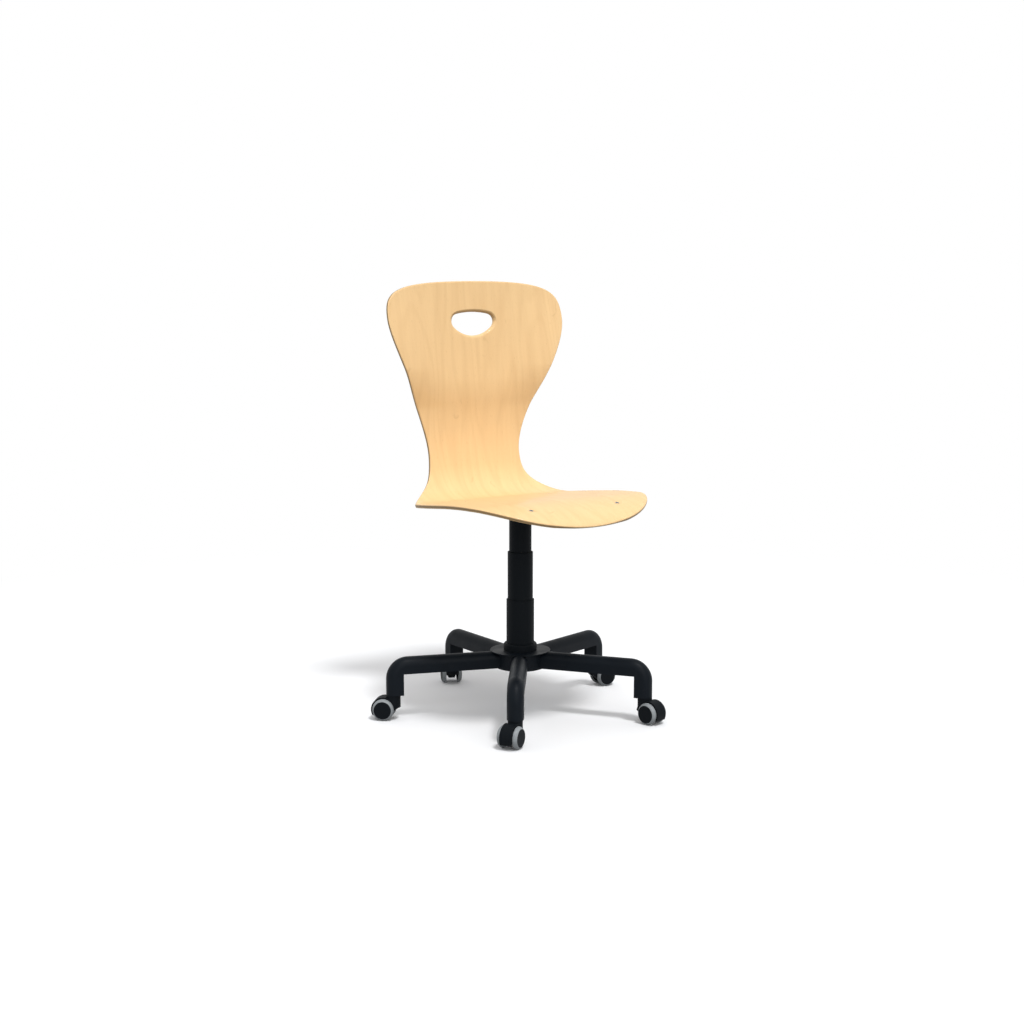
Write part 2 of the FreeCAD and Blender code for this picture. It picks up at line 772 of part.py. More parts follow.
def curve_through(points):
    spline = Part.BSplineCurve()
    spline.interpolate([Vector(p[0], p[1], 0) for p in points])
    return spline


# The pressed blank: five sections across its width
blank = new_body("shell_blank")
sections = []
for share in (-1.0, -0.5, 0.0, 0.5, 1.0):
    across = blank_half * share
    sketch = new_sketch(blank, "YZ_Plane", across)
    upper = [shell_point(across, at, 0.0) for at in stations]
    under = [shell_point(across, at, mm("shell_thick")) for at in stations]
    sketch.addGeometry(curve_through(upper), False)
    sketch.addGeometry(curve_through(under), False)
    for end in (0, -1):
        sketch.addGeometry(Part.LineSegment(Vector(*upper[end], 0), Vector(*under[end], 0)), False)
    sections.append(sketch)
pressing = blank.newObject("PartDesign::AdditiveLoft", "shell_pressing")
pressing.Profile = sections[0]
pressing.Sections = sections[1:]
doc.recompute()


# Outline of the sheet as half widths at distances from the lip, along smooth curves between named points
def bezier(p, q, r, s, pieces):
    for i in range(pieces):
        t = i / pieces
        weights = ((1 - t) ** 3, 3 * (1 - t) ** 2 * t, 3 * (1 - t) * t ** 2, t ** 3)
        yield tuple(sum(w * c[k] for w, c in zip(weights, (p, q, r, s))) for k in (0, 1))


def sheet_outline():
    turn = math.radians(mm("corner_angle"))
    along = (-math.sin(turn), math.cos(turn))
    widest = (mm("seat_half_width"), mm("seat_widest_at"))
    corner = (mm("corner_half_width"), mm("corner_at"))
    before = tuple(corner[k] - along[k] * mm("corner_handle_front") for k in (0, 1))
    after = tuple(corner[k] + along[k] * mm("corner_handle_back") for k in (0, 1))
    waist = (mm("waist_half_width"), mm("waist_at"))
    shoulder = (mm("shoulder_half_width"), mm("shoulder_at"))
    top = (0.0, mm("top_at"))
    points = []
    points += bezier((0.0, 0.0), (mm("front_flat"), 0.0), (widest[0], widest[1] - mm("front_handle")), widest, 12)
    points += bezier(widest, (widest[0], widest[1] + mm("side_handle")), before, corner, 12)
    points += bezier(corner, after, (waist[0], waist[1] - mm("waist_handle_down")), waist, 8)
    points += bezier(waist, (waist[0], waist[1] + mm("waist_handle_up")),
                     (shoulder[0], shoulder[1] - mm("shoulder_handle_down")), shoulder, 12)
    points += bezier(shoulder, (shoulder[0], shoulder[1] + mm("shoulder_handle_up")),
                     (mm("top_handle"), top[1]), top, 12)
    return points + [top]


# The edge is cut square to the sheet all round, by a ruled face on each side of the middle
OUTLINE = sheet_outline()
ALONG = [0.0]
for a, b in zip(OUTLINE, OUTLINE[1:]):
    ALONG.append(ALONG[-1] + math.dist(a, b))


def edge_curve(side, depth):
    spline = Part.BSplineCurve()
    points = [Vector(side * x, *shell_point(x, at, depth)) for x, at in OUTLINE]
    spline.interpolate(Points=points, Parameters=ALONG, InitialTangent=Vector(side, 0, 0),
                       FinalTangent=Vector(-side, 0, 0))
    return spline.toShape()


edge_faces = [Part.makeRuledSurface(edge_curve(side, -SPARE), edge_curve(side, mm("shell_thick") + SPARE))
              for side in (1, -1)]
edge_cut = doc.addObject("Part::Feature", "edge_cut")
edge_cut.Shape = Part.makeShell(edge_faces)
pieces = blank.Shape.generalFuse([edge_cut.Shape])[0].Solids
sheet_body = doc.addObject("Part::Feature", "trimmed_sheet")
sheet_body.Shape = max(pieces, key=lambda piece: piece.Volume)


# Placement on the shell's upper face, local Z along the outward normal and local Y up the profile
def place_on_shell(x, at):
    y, z, normal, heading = profile_at(at)
    up = Vector(0, -math.cos(heading), math.sin(heading))
    out = Vector(0, normal[0], -normal[1])
    out = Vector(1, 0, 0).cross(up)
    turn = Rotation(Vector(1, 0, 0), up, out, "XYZ")
    return Placement(Vector(x, y, z), turn)


# Hand hold: two arcs that meet in rounded corners, cut square to the back
hold = new_body("hand_hold")
sketch = new_sketch(hold, "XY_Plane", -size("shell_thick") * 5)
draw_outline(sketch, [("hold_half_width", 0.0, "hold_top_radius", 1),
                      (-size("hold_half_width"), 0.0, "hold_bottom_radius", 1)])
pad(hold, sketch, size("shell_thick") * 10)
fillet(hold, "hold_corner_radius", lambda edge, middle: abs(middle.y) < 0.01
       and abs(abs(middle.x) - mm("hold_half_width")) < 0.01)
hold.Placement = place_on_shell(0.0, mm("hold_corner_at"))

# Screw places: a pair near the front of the seat and a pair behind
SCREWS = [(side * mm("screw_side"), mm(at)) for at in ("front_screw_at", "rear_screw_at") for side in (-1, 1)]


def drill(label, radius, depth, rise=5.0):
    cutters = []
    for number, (x, at) in enumerate(SCREWS, 1):
        cutter = doc.addObject("Part::Cylinder", "%s_%d" % (label, number))
        cutter.setExpression("Radius", size(radius).text)
        cutter.setExpression("Height", (size(depth) + rise).text)
        cutter.Placement = place_on_shell(x, at).multiply(
            Placement(Vector(0, 0, -size(depth).value), Rotation()))
        cutters.append(cutter)
    return cutters


bar_top = size("shell_thick") + "axial_gap"
bar_bottom = bar_top + "bar_thick"
shank_hole = size("screw_radius") + "screw_play"
holes = [hold] + drill("shank_hole", shank_hole, bar_bottom + "drill_spare")
holes += drill("head_recess", size("screw_head_radius") + "axial_gap", size("screw_head_depth") + "axial_gap")
seat_shell = doc.addObject("Part::Cut", "seat_shell")
seat_shell.Base, seat_shell.Tool = sheet_body, group("shell_holes", holes)
nodes.append(seat_shell)


def make_screw(number, x, at):
    tail = bar_bottom + "axial_gap" + "nut_thick" + "screw_tail"
    head_base = -size("screw_head_depth")
    body = turned_piece("screw_%d" % number, [
        (0.0, -tail), ("screw_radius", -tail), ("screw_radius", head_base), ("screw_head_radius", head_base),
        ("screw_head_radius", 0.0), (0.0, 0.0)])
    sketch = new_sketch(body, "XY_Plane")
    half = size("screw_key_radius") * 0.866
    draw_outline(sketch, [("screw_key_radius", 0.0), (size("screw_key_radius") / 2, half),
                          (-size("screw_key_radius") / 2, half), (-size("screw_key_radius"), 0.0),
                          (-size("screw_key_radius") / 2, -half), (size("screw_key_radius") / 2, -half)])
    pocket(body, sketch, "screw_key_depth")
    body.Placement = place_on_shell(x, at)
    return body


def make_nut(number, x, at):
    body = new_body("nut_%d" % number)
    sketch = new_sketch(body, "XY_Plane", -(bar_bottom + "axial_gap" + "nut_thick"))
    half = size("nut_radius") * 0.866
    draw_outline(sketch, [("nut_radius", 0.0), (size("nut_radius") / 2, half), (-size("nut_radius") / 2, half),
                          (-size("nut_radius"), 0.0), (-size("nut_radius") / 2, -half),
                          (size("nut_radius") / 2, -half)])
    draw_circle(sketch, 0.0, 0.0, "screw_radius")
    pad(body, sketch, "nut_thick")
    body.Placement = place_on_shell(x, at)
    return body


nodes.append(group("seat_screws", [make_screw(i, x, at) for i, (x, at) in enumerate(SCREWS, 1)]))
nodes.append(group("seat_nuts", [make_nut(i, x, at) for i, (x, at) in enumerate(SCREWS, 1)]))


# A strip that follows the shell's underside between two stations and two depths
def strip_edges(start, end, top, bottom):
    cuts = [start] + [run[0] for run in RUNS if start < run[0] < end] + [end]
    edges = []
    for depth, order in ((top, 1), (bottom, -1)):
        spans = list(zip(cuts, cuts[1:]))[::order]
        for a, b in spans:
            ends = [Vector(*profile_at(at, depth)[:2], 0) for at in (a, (a + b) / 2, b)][::order]
            straight = ends[0].distanceToLine(ends[2], ends[1] - ends[2]) < 1e-6
            edges.append(Part.LineSegment(ends[0], ends[2]) if straight else Part.Arc(*ends))
    for at in (start, end):
        edges.append(Part.LineSegment(Vector(*profile_at(at, top)[:2], 0), Vector(*profile_at(at, bottom)[:2], 0)))
    return edges


def make_strip(label, centre, width, start, end, top, bottom):
    body = new_body(label)
    sketch = new_sketch(body, "YZ_Plane", centre)
    for edge in strip_edges(start, end, top.value, bottom.value):
        sketch.addGeometry(edge, False)
    pad(body, sketch, width, symmetric=True)
    return body


def distance_of(depth_y):
    low, high = 0.0, RUNS[4][0]
    for _ in range(50):
        at = (low + high) / 2
        low, high = (at, high) if profile_at(at, mm("shell_thick"))[0] < depth_y else (low, at)
    return at


# Two bars carry the seat and a bridge under them joins the bars to the mechanism
bar_start = mm("front_screw_at") - mm("bar_overhang")
bar_end = mm("rear_screw_at") + mm("bar_overhang")
bars = [make_strip("bar_%s" % name, size("screw_side") * side, "bar_width", bar_start, bar_end, bar_top, bar_bottom)
        for side, name in ((1, "left"), (-1, "right"))]
seat_bars = doc.addObject("Part::Cut", "seat_bars")
seat_bars.Base, seat_bars.Tool = group("bar_pair", bars), group("bar_holes", drill("bar_hole", shank_hole,
                                                                                   bar_bottom + "drill_spare"))
nodes.append(seat_bars)
bridge_bottom = bar_bottom + "bridge_thick"
bridge_half = mm("bridge_depth") / 2
nodes.append(make_strip("seat_bridge", 0.0, size("screw_side") * 2 + "bar_width", distance_of(-bridge_half),
                        distance_of(bridge_half), bar_bottom, bridge_bottom))


# Mechanism housing: a steel channel whose side walls reach up to the bridge
def bridge_height(y):
    at = distance_of(y)
    for _ in range(4):
        at += profile_at(at, bridge_bottom.value)[0] * -1 + y
    return profile_at(at, bridge_bottom.value)[1]


housing = new_body("mech_housing")
sketch = new_sketch(housing, "YZ_Plane")
wall_outer = size("housing_width") / 2
wall_inner = wall_outer - "housing_steel"
draw_outline(sketch, [
    (-wall_outer, "housing_height"), (wall_outer, "housing_height"), (wall_outer, bridge_height(wall_outer.value)),
    (wall_inner, bridge_height(wall_inner.value)), (wall_inner, housing_floor_top),
    (-wall_inner, housing_floor_top), (-wall_inner, bridge_height(-wall_inner.value)),
    (-wall_outer, bridge_height(-wall_outer.value))])
pad(housing, sketch, "housing_length", symmetric=True)
sketch = new_sketch(housing, "XY_Plane", "housing_height")
draw_circle(sketch, 0.0, 0.0, socket_top_bore + "slide_gap")
pocket(housing, sketch, "housing_steel", reverse=True)
sketch = new_sketch(housing, "XZ_Plane")
draw_circle(sketch, "pivot_offset", pivot_height, "pivot_radius")
pocket(housing, sketch, size("housing_width") * 2, symmetric=True)
nodes.append(housing)

pivot = new_body("lever_pivot")
sketch = new_sketch(pivot, "XZ_Plane")
draw_circle(sketch, "pivot_offset", pivot_height, "pivot_radius")
pad(pivot, sketch, size("housing_width") + size("housing_steel") * 2, symmetric=True)
nodes.append(pivot)

# Height lever: flat bar that leaves the housing on the sitter's left and dips under the seat
lever = new_body("height_lever")
sketch = new_sketch(lever, "XZ_Plane")
half = size("lever_thick") / 2
grip_height = pivot_height - "lever_drop"
draw_outline(sketch, [
    (-size("lever_tip"), pivot_height - half), ("lever_bend_start", pivot_height - half),
    ("lever_bend_end", grip_height - half), ("lever_reach", grip_height - half),
    ("lever_reach", grip_height + half), ("lever_bend_end", grip_height + half),
    ("lever_bend_start", pivot_height + half), (-size("lever_tip"), pivot_height + half)])
pad(lever, sketch, "lever_width", symmetric=True)
sketch = new_sketch(lever, "XZ_Plane")
draw_circle(sketch, "pivot_offset", pivot_height, "pivot_boss_radius")
pad(lever, sketch, "lever_width", symmetric=True)
sketch = new_sketch(lever, "XZ_Plane")
draw_circle(sketch, "pivot_offset", pivot_height, size("pivot_radius") + "running_gap")
pocket(lever, sketch, size("lever_width") * 2, symmetric=True)
nodes.append(lever)

grip = turned_piece("lever_grip", [
    (0.0, 0.0), (size("grip_radius") - "grip_round", 0.0), ("grip_radius", "grip_round"),
    ("grip_radius", size("grip_length") - "grip_round"), (size("grip_radius") - "grip_round", "grip_length"),
    (0.0, "grip_length")])
sketch = new_sketch(grip, "XY_Plane")
slot_x, slot_y = half + "running_gap", size("lever_width") / 2 + "running_gap"
draw_outline(sketch, [(-slot_x, -slot_y), (slot_x, -slot_y), (slot_x, slot_y), (-slot_x, slot_y)])
pocket(grip, sketch, "grip_depth", reverse=True)
grip.Placement = Placement(Vector(mm("lever_reach") - mm("grip_depth"), 0, grip_height.value),
                           Rotation(Vector(0, 1, 0), 90))
nodes.append(grip)

# Checks, then one file for each piece
doc.recompute()
for item in doc.Objects:
    if "Invalid" in item.State or "Error" in item.State:
        raise RuntimeError("%s failed: %s" % (item.Label, item.State))
os.makedirs("parts", exist_ok=True)
for node in nodes:
    shape = node.Shape
    if shape.isNull() or not shape.isValid():
        raise RuntimeError("%s is not a valid shape" % node.Label)
    box = shape.BoundBox
    print("%-24s %2d solids %10.1f mm3  z %.1f to %.1f" % (node.Label, len(shape.Solids), shape.Volume,
                                                         box.ZMin, box.ZMax))
    shape.exportStep("parts/%s.step" % node.Label)
print("%d pieces" % len(nodes))
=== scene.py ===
# %% [markdown]
# # A plywood swivel chair, dressed for its photograph
#
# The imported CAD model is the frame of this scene. It already has every steel and plastic part in its right
# place, and its 21 bodies move on their joints. Here each part gets the finish of the real one, and the
# pressed plywood shell, which is most of what the eye sees, is made again with rounded edges and veneer. The
# load comes first because everything else is placed against it.

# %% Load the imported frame
import json
import math

import bmesh
import bpy
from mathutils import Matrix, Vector


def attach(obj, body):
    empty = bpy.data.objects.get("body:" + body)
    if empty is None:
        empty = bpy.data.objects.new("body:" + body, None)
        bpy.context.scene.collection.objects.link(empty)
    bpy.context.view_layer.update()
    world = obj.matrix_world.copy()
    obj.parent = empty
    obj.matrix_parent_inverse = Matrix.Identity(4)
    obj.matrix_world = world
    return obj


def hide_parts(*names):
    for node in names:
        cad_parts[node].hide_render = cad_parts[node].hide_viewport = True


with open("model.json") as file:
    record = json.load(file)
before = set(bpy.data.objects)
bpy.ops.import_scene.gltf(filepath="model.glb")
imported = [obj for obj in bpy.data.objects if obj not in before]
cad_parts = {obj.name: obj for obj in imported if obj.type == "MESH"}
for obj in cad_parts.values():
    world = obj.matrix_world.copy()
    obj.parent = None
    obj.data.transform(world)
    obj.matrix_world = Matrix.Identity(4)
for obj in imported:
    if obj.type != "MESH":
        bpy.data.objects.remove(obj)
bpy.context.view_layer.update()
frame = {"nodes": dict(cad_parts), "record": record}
MM = 0.001

# %% [markdown]
# ## The profile of the shell
#
# A pressed shell is bent in one direction only, so its side view says nearly everything. Whoever makes the
# mould draws it as arcs that run into each other without a corner: the nose of the seat, the long roll of
# the thighs, the tight bend at the back of the seat, then the waist and the lumbar curve. The scene repeats
# those radii and angles from the CAD source, and walks along them. Working in distance along the sheet
# makes it easy to bend a flat sheet later. All lengths are in millimetres until the sheet is pressed.

# %% Walk along the side profile
LIP = (-286.6, 470.6, math.radians(112.0))  # where the profile starts: y, z and heading
# A name, a radius and an angle in degrees. A flat run has no angle, and its length is in the radius's place.
PROFILE = [("nose", 22.0, 38.1), ("roll", 250.0, 32.0), ("crown", 1600.0, 4.2), ("seat flat", 130.0, 0.0),
           ("bend", -72.5, 60.7), ("heel", -105.0, 23.2), ("waist", -389.9, 22.15), ("lumbar", 231.5, 15.14),
           ("top flat", 240.0, 0.0)]


def walk(y, z, heading, curve, length):
    """The place and heading after a length of an arc. Its curve is one over its radius, or 0 if flat."""
    if curve == 0.0:
        return y - length * math.cos(heading), z + length * math.sin(heading), heading
    turned = heading + curve * length
    return (y - (math.sin(turned) - math.sin(heading)) / curve,
            z - (math.cos(turned) - math.cos(heading)) / curve, turned)


runs = []
y, z, heading = LIP
reached = 0.0
for name, radius, angle in PROFILE:
    curve = 1.0 / radius if angle else 0.0
    length = abs(radius) * math.radians(angle) if angle else radius
    runs.append((reached, length, y, z, heading, curve))
    y, z, heading = walk(y, z, heading, curve, length)
    reached += length
    print("%s: %.1f mm, to %.1f mm along the sheet" % (name, length, reached))

# %% [markdown]
# The back is also hollowed across its width, so that it holds the sitter. The hollow is deepest just above
# the lumbar curve and eases out towards the top edge, which is nearly straight. A point of the flat sheet has
# a place across, a place along and a depth under the upper face. `bend` takes the three to the place in the
# room that the press gives it.

# %% Bend a point of the flat sheet to its place
HOLLOW_RADIUS, TOP_RADIUS = 810.3, 2894.0
HOLLOW_START, HOLLOW_FULL, HOLLOW_END = 657.8, 760.0, 985.0


def eased(along, start, end):
    """From 0 at the start to 1 at the end, level at both."""
    share = min(max((along - start) / (end - start), 0.0), 1.0)
    return share * share * (3 - 2 * share)


def hollow(across, along):
    """How far the back comes forward at a distance from its middle."""
    towards_top = (1 / TOP_RADIUS - 1 / HOLLOW_RADIUS) * eased(along, HOLLOW_FULL, HOLLOW_END)
    return eased(along, HOLLOW_START, HOLLOW_FULL) * (1 / HOLLOW_RADIUS + towards_top) * across * across / 2


def bend(across, along, depth):
    for start, length, y, z, heading, curve in runs:
        if along <= start + length or (start, length) == runs[-1][:2]:
            y, z, heading = walk(y, z, heading, curve, along - start)
            break
    deep = depth - hollow(across, along)
    return Vector((across, y + math.sin(heading) * deep, z + math.cos(heading) * deep)) * MM


print("the hollow is deepest at", [round(v, 3) for v in bend(0.0, HOLLOW_FULL, 0.0)])

# %% [markdown]
# ## The outline of the shell
#
# The flat blank is sawn or routed to its outline before or after pressing. Half of it is drawn here as five
# curves, front to top, each with two ends and two handles at the same points as in the CAD source: the round
# front, the side of the seat, the rear corner, the narrow waist and the shoulder.

# %% Draw half of the outline
OUTLINE = [((0.0, 0.0), (188.0, 0.0), (236.0, 128.0), (236.0, 153.0)),
           ((236.0, 153.0), (236.0, 306.0), (226.3, 398.3), (208.8, 419.7)),
           ((208.8, 419.7), (159.6, 479.8), (126.7, 475.8), (126.7, 550.7)),
           ((126.7, 550.7), (126.7, 640.8), (242.3, 791.4), (242.3, 870.0)),
           ((242.3, 870.0), (242.3, 933.6), (221.6, 959.0), (0.0, 959.0))]
POINTS = 60  # on each curve


def on_curve(points, t):
    """The point of a curve at t, which goes from 0 at its first end to 1 at its last."""
    a, b, c, d = points
    u = 1 - t
    return tuple(u ** 3 * a[k] + 3 * t * u ** 2 * b[k] + 3 * t * t * u * c[k] + t ** 3 * d[k] for k in (0, 1))


def evenly(points, share):
    """The point that lies at a share of the length of a line of points."""
    total = sum(math.dist(a, b) for a, b in zip(points, points[1:]))
    left = share * total
    for a, b in zip(points, points[1:]):
        step = math.dist(a, b)
        if left <= step:
            return tuple(a[k] + (b[k] - a[k]) * left / step for k in (0, 1))
        left -= step
    return points[-1]


half = [on_curve(curve, i / POINTS) for curve in OUTLINE for i in range(POINTS)] + [OUTLINE[-1][-1]]
print("half of the outline is %.0f mm long" % sum(math.dist(a, b) for a, b in zip(half, half[1:])))

# %% [markdown]
# The edge of the sheet is rounded, so its level faces end a little inside the outline. The line of points is
# moved inwards by the radius, and the rounding is filled in later.

# %% Move the outline inwards by the rounding
EDGE_ROUND = 3.0


def inset(points, by):
    """Moves each point inwards, square to the line of its neighbours. The two ends stay in the middle."""
    moved = []
    for k, point in enumerate(points):
        before, after = points[max(k - 1, 0)], points[min(k + 1, len(points) - 1)]
        ahead = (Vector(after) - Vector(before)).normalized()
        moved.append((point[0] - ahead.y * by, point[1] + ahead.x * by))
    return [(0.0, moved[0][1])] + moved[1:-1] + [(0.0, moved[-1][1])]


half = inset(half, EDGE_ROUND)
print("the level face starts at %.1f mm" % half[0][1])

# %% [markdown]
# ## A flat grid in the shape of the blank
#
# A bent surface looks smooth only if its faces are small four-sided ones in even rows. A grid is therefore
# stretched over the outline, with its corners on the round corners of the blank, the way a tailor lays
# cloth on a pattern: each inner point is a blend of the four edges.

# %% Stretch a grid over the blank
COLUMNS, ROWS = 72, 240
FRONT_CORNER = 42  # this point of the outline is at the round corner of the seat
TOP_CORNER = (len(OUTLINE) - 1) * POINTS + 26  # and this one at the shoulder
front_edge = [(-x, s) for x, s in half[FRONT_CORNER::-1]] + half[1:FRONT_CORNER + 1]
top_edge = [(-x, s) for x, s in half[TOP_CORNER:]] + half[-2:TOP_CORNER - 1:-1]
right_side = half[FRONT_CORNER:TOP_CORNER + 1]

front_row = [evenly(front_edge, i / COLUMNS) for i in range(COLUMNS + 1)]
top_row = [evenly(top_edge, i / COLUMNS) for i in range(COLUMNS + 1)]
side_column = [evenly(right_side, j / ROWS) for j in range(ROWS + 1)]


def blend_edges(i, j):
    """The place across and along that a point of the grid gets from the four edges."""
    u, v = i / COLUMNS, j / ROWS
    side = side_column[j]
    x = (1 - v) * front_row[i][0] + v * top_row[i][0] + (2 * u - 1) * side[0]
    x -= (2 * u - 1) * ((1 - v) * side_column[0][0] + v * side_column[-1][0])
    s = (1 - v) * front_row[i][1] + v * top_row[i][1] + side[1]
    return x, s - (1 - v) * side_column[0][1] - v * side_column[-1][1]


sheet = bmesh.new()
bmesh.ops.create_grid(sheet, x_segments=COLUMNS, y_segments=ROWS, size=1.0)
grid = {}
for vertex in sheet.verts:
    i, j = round((vertex.co.x + 1) / 2 * COLUMNS), round((vertex.co.y + 1) / 2 * ROWS)
    vertex.co = Vector((*blend_edges(i, j), 0.0))
    grid[i, j] = vertex
print("the blank has %d faces" % len(sheet.faces))

# %% [markdown]
# ## The hand hold and the screw holes
#
# The hand hold is a half moon: a flat arc on top, a deep one below, and small round corners where they meet.
# A Boolean would leave long thin faces that show as dents once the sheet is bent. So a block of the grid is
# pushed onto the outline of the hole, its faces are taken out, and the faces around it are relaxed. The hand
# hold is opened wider by the rounding of its front edge, which is filled in later. The four screw holes are
# made in the same way.

# %% Find the centres of the hand hold's arcs
HOLD_HALF, HOLD_AT, HOLD_TOP, HOLD_BOTTOM, HOLD_CORNER = 69.3, 874.7, 209.0, 76.7, 17.6
top_centre = HOLD_AT - math.sqrt(HOLD_TOP ** 2 - HOLD_HALF ** 2)
bottom_centre = HOLD_AT + math.sqrt(HOLD_BOTTOM ** 2 - HOLD_HALF ** 2)
reach_top, reach_bottom = HOLD_TOP - HOLD_CORNER, HOLD_BOTTOM - HOLD_CORNER
corner_at = ((reach_top ** 2 - reach_bottom ** 2) / (bottom_centre - top_centre)
             + top_centre + bottom_centre) / 2
corner_out = math.sqrt(reach_top ** 2 - (corner_at - top_centre) ** 2)
print("hand hold from %.1f to %.1f mm along the sheet" % (bottom_centre - HOLD_BOTTOM, top_centre + HOLD_TOP))

# %% Draw the hand hold, opened by its front rounding
HOLD_FRONT, HOLD_BACK = 7.2, 1.6


def arc(centre, radius, start, end, count=40):
    return [(centre[0] + radius * math.cos(start + (end - start) * k / count),
             centre[1] + radius * math.sin(start + (end - start) * k / count)) for k in range(count + 1)]


touch_top = math.atan2(corner_at - top_centre, corner_out)
touch_bottom = math.atan2(corner_at - bottom_centre, corner_out)
left_corner, right_corner = (-corner_out, corner_at), (corner_out, corner_at)
open_corner = HOLD_CORNER + HOLD_FRONT
upper_arc = (arc(left_corner, open_corner, math.pi, math.pi - touch_top)
             + arc((0.0, top_centre), HOLD_TOP + HOLD_FRONT, math.pi - touch_top, touch_top)
             + arc(right_corner, open_corner, touch_top, 0.0))
lower_arc = (arc(right_corner, open_corner, 0.0, touch_bottom)
             + arc((0.0, bottom_centre), HOLD_BOTTOM + HOLD_FRONT, touch_bottom, -math.pi - touch_bottom)
             + arc(left_corner, open_corner, -math.pi - touch_bottom, -math.pi))
print("opened at its corners to %.1f mm from the middle" % (corner_out + open_corner))

# %% Open a hole in the grid
RELAXINGS = 40


def nearest(x, s):
    """The column and row of the grid's point that is nearest to a place."""
    return min(grid, key=lambda key: math.dist(grid[key].co[:2], (x, s)))


def open_hole(left, bottom, right, top, upper, lower, around):
    """Puts the edge of a block of the grid on two lines of points and takes its faces out. The faces around
    the hole are relaxed."""
    across, along = right - left, top - bottom
    for k in range(across + 1):
        grid[left + k, top].co[:2] = evenly(upper, k / across)
    total = across + 2 * along
    path = [(right, top - k) for k in range(along)] + [(right - k, bottom) for k in range(across)]
    path += [(left, bottom + k) for k in range(along + 1)]
    for k, key in enumerate(path):
        grid[key].co[:2] = evenly(lower, k / total)
    block = [(i, j) for i in range(left, right + 1) for j in range(bottom, top + 1)]
    inside = {grid[key] for key in block}
    rim = {grid[key] for key in path} | {grid[left + k, top] for k in range(across + 1)}
    loose = [grid[i, j] for i in range(left - around, right + around + 1)
             for j in range(bottom - around, top + around + 1) if grid[i, j] not in inside]
    taken = [face for face in sheet.faces if all(v in inside for v in face.verts)]
    bmesh.ops.delete(sheet, geom=taken, context="FACES")
    for _ in range(RELAXINGS):
        bmesh.ops.smooth_vert(sheet, verts=loose, factor=0.5, use_axis_x=True, use_axis_y=True)
    for key in block:
        if grid[key] not in rim:
            del grid[key]
    return len(taken)


print("the grid has %d points" % len(grid))

# %% Open the hand hold
BLOCK_HALF, BLOCK_BOTTOM, BLOCK_MIDDLE, BLOCK_TOP = 60.0, 831.0, 864.0, 887.0
RELAXED_BY_HOLD = 14  # faces
hold_left, hold_right = nearest(-BLOCK_HALF, BLOCK_MIDDLE)[0], nearest(BLOCK_HALF, BLOCK_MIDDLE)[0]
hold_bottom, hold_top = nearest(0.0, BLOCK_BOTTOM)[1], nearest(0.0, BLOCK_TOP)[1]
print("hand hold:", open_hole(hold_left, hold_bottom, hold_right, hold_top, upper_arc, lower_arc,
                              RELAXED_BY_HOLD), "faces out")

# %% Open the four screw holes
SCREW_SIDE, SCREWS_AT, SCREW_HOLE = 116.1, (82.0, 350.0), 4.6
UPPER_END = math.pi / 4  # the upper row of a block takes the upper quarter of its hole
RELAXED_BY_SCREW = 4
for side in (-1, 1):
    for screw_at in SCREWS_AT:
        centre = (side * SCREW_SIDE, screw_at)
        i, j = nearest(*centre)
        upper_part = arc(centre, SCREW_HOLE, math.pi - UPPER_END, UPPER_END)
        lower_part = arc(centre, SCREW_HOLE, UPPER_END, -math.pi - UPPER_END, count=80)
        # The block is three faces wide and four long.
        print("screw hole:", open_hole(i - 1, j - 2, i + 2, j + 2, upper_part, lower_part, RELAXED_BY_SCREW),
              "faces out")

# %% [markdown]
# ## Thickness and rounded edges
#
# The sheet is nine millimetres of beech veneers. Its edge is rounded on both sides before it is lacquered, so
# only the middle third of it stands upright. The hand hold is rounded more, and most in front, because
# fingers go there. A bevel would stop short, because it may not be wider than the smallest face beside it. So
# the upright walls are cut into rows while the sheet is still flat, and each row is moved to its place on the
# rounding. In the hand hold the last row lies level, and brings the rear face out to its narrow rounding.

# %% Thicken the sheet and cut its walls into rows
SHEET, ROWS_DOWN = 9.0, 12
HOLD_REACH, SCREW_REACH = 85.0, 9.0  # a wall point nearer than this to a hole's centre is the hole's
bmesh.ops.solidify(sheet, geom=sheet.faces[:], thickness=SHEET)
highest = max(v.co.z for v in sheet.verts)
bmesh.ops.translate(sheet, verts=sheet.verts[:], vec=(0.0, 0.0, -highest))


def in_hold(spot):
    return math.dist(spot.xy, (0.0, corner_at)) < HOLD_REACH


def by_screw(spot):
    return any(math.dist((abs(spot.x), spot.y), (SCREW_SIDE, at)) < SCREW_REACH for at in SCREWS_AT)


upright = [edge for edge in sheet.edges if abs(edge.verts[0].co.z - edge.verts[1].co.z) > SHEET / 2
           and not by_screw(edge.verts[0].co)]
cut = bmesh.ops.subdivide_edges(sheet, edges=upright, cuts=ROWS_DOWN - 1, use_grid_fill=True)
wall = {v for v in cut["geom_inner"] if isinstance(v, bmesh.types.BMVert)}
bmesh.ops.recalc_face_normals(sheet, faces=sheet.faces[:])
sheet.normal_update()
print(len(upright), "columns of", ROWS_DOWN, "rows")

# %% Round the edge and the hand hold
EDGE_STEPS, FRONT_STEPS, BACK_STEPS = 5, 7, 3


def quarter(radius, count):
    """Steps over a quarter circle, each with how far out and how far down it is."""
    turns = [math.pi / 2 * k / count for k in range(count + 1)]
    return [(radius * math.sin(t), radius * (1 - math.cos(t))) for t in turns]


edge_front = quarter(EDGE_ROUND, EDGE_STEPS)
edge_rear = [(out, SHEET - down) for out, down in reversed(edge_front)]
edge_section = edge_front + [(EDGE_ROUND, SHEET / 2)] + edge_rear
hold_rear = [(HOLD_FRONT - HOLD_BACK + out, SHEET - down)
             for out, down in reversed(quarter(HOLD_BACK, BACK_STEPS))]
hold_section = quarter(HOLD_FRONT, FRONT_STEPS) + hold_rear

